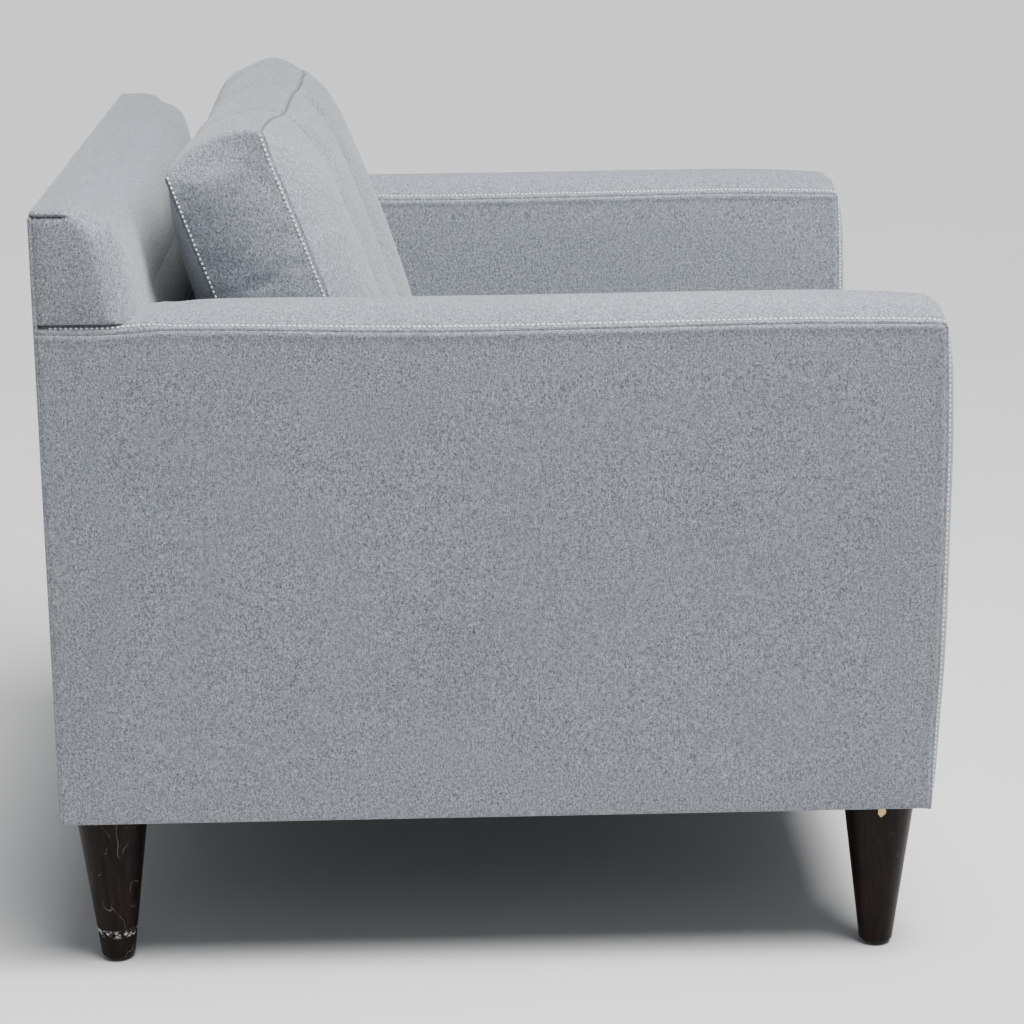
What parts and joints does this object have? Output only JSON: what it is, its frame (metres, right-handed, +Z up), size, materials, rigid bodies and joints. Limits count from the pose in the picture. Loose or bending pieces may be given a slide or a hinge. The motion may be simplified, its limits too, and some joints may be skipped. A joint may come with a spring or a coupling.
{
  "type": "upholstered armchair",
  "caption": "Low armchair with padded track arms, a loose seat cushion, a tufted loose back cushion and round tapered legs.",
  "frame": {"origin": "on the floor, at the centre of the chair's plan", "axes": "+Z up, the sitter faces -Y, +X to the sitter's left"},
  "size_m": [0.826, 0.842, 0.8006],
  "materials": {
    "upholstery": "heathered woven upholstery cloth, matt",
    "leg_wood": "near-black stained hardwood, satin lacquer",
    "glide": "moulded glide, matt",
    "steel": "zinc-plated steel",
    "spring_steel": "oil-tempered wire, dark",
    "dust_cloth": "non-woven black dust cover",
    "deck_cloth": "plain woven deck cloth",
    "webbing": "elastic webbing",
    "foam": "open-cell foam and fibre",
    "zip_metal": "small painted slider",
    "zip_tape": "woven tape with coil teeth",
    "twine": "waxed twine",
    "frame_wood": "sawn hardwood and plywood, unfinished"
  },
  "bodies": {
    "chair": {"arm_band_left": "upholstery", "arm_band_right": "upholstery", "arm_cap_rail_left": "frame_wood", "arm_cap_rail_right": "frame_wood", "arm_facing_left": "frame_wood", "arm_facing_right": "frame_wood", "arm_inner_foam_left": "foam", "arm_inner_foam_right": "foam", "arm_inner_panel_left": "upholstery", "arm_inner_panel_right": "upholstery", "arm_outer_pad_left": "foam", "arm_outer_pad_right": "foam", "arm_outer_panel_left": "upholstery", "arm_outer_panel_right": "upholstery", "arm_post_left": "frame_wood", "arm_post_right": "frame_wood", "arm_top_foam_left": "foam", "arm_top_foam_right": "foam", "back_cover": "upholstery", "back_foam": "foam", "back_outer_pad": "foam", "back_outer_panel": "upholstery", "back_slats": "frame_wood", "back_straps": "webbing", "back_top_rail": "frame_wood", "back_uprights": "frame_wood", "corner_blocks": "frame_wood", "deck_cloth": "deck_cloth", "deck_pad": "foam", "dust_cover": "dust_cloth", "foot_glides": "glide", "front_rail": "frame_wood", "front_rail_cover": "upholstery", "hanger_bolts": "steel", "leg_front_left": "leg_wood", "leg_front_right": "leg_wood", "leg_rear_left": "leg_wood", "leg_rear_right": "leg_wood", "rear_post_left": "frame_wood", "rear_post_right": "frame_wood", "rear_rail": "frame_wood", "rear_spring_rail": "frame_wood", "seat_springs": "spring_steel", "side_rail_left": "frame_wood", "side_rail_right": "frame_wood", "spring_clips": "steel", "stay_wires": "steel", "tee_nuts": "steel"},
    "seat_cushion": {"seat_cushion_core": "foam", "seat_cushion_cover": "upholstery", "seat_zip": "zip_tape"},
    "back_cushion": {"back_cushion_core": "foam", "back_cushion_cover": "upholstery", "back_zip": "zip_tape", "tuft_twines": "twine"},
    "seat_slider": {"seat_zip_slider": "zip_metal"},
    "back_slider": {"back_zip_slider": "zip_metal"}
  },
  "joints": [
    {"name": "seat_cushion_out", "type": "slide", "parent": "chair", "child": "seat_cushion", "axis": [0, -1, 0], "range_m": [0, 0.64]},
    {"name": "back_cushion_lift", "type": "slide", "parent": "chair", "child": "back_cushion", "axis": [0, 0, 1], "range_m": [0, 0.42]},
    {"name": "seat_zip_run", "type": "slide", "parent": "seat_cushion", "child": "seat_slider", "axis": [1, 0, 0], "range_m": [0, 0.43]},
    {"name": "back_zip_run", "type": "slide", "parent": "back_cushion", "child": "back_slider", "axis": [1, 0, 0], "range_m": [0, 0.43]}
  ]
}
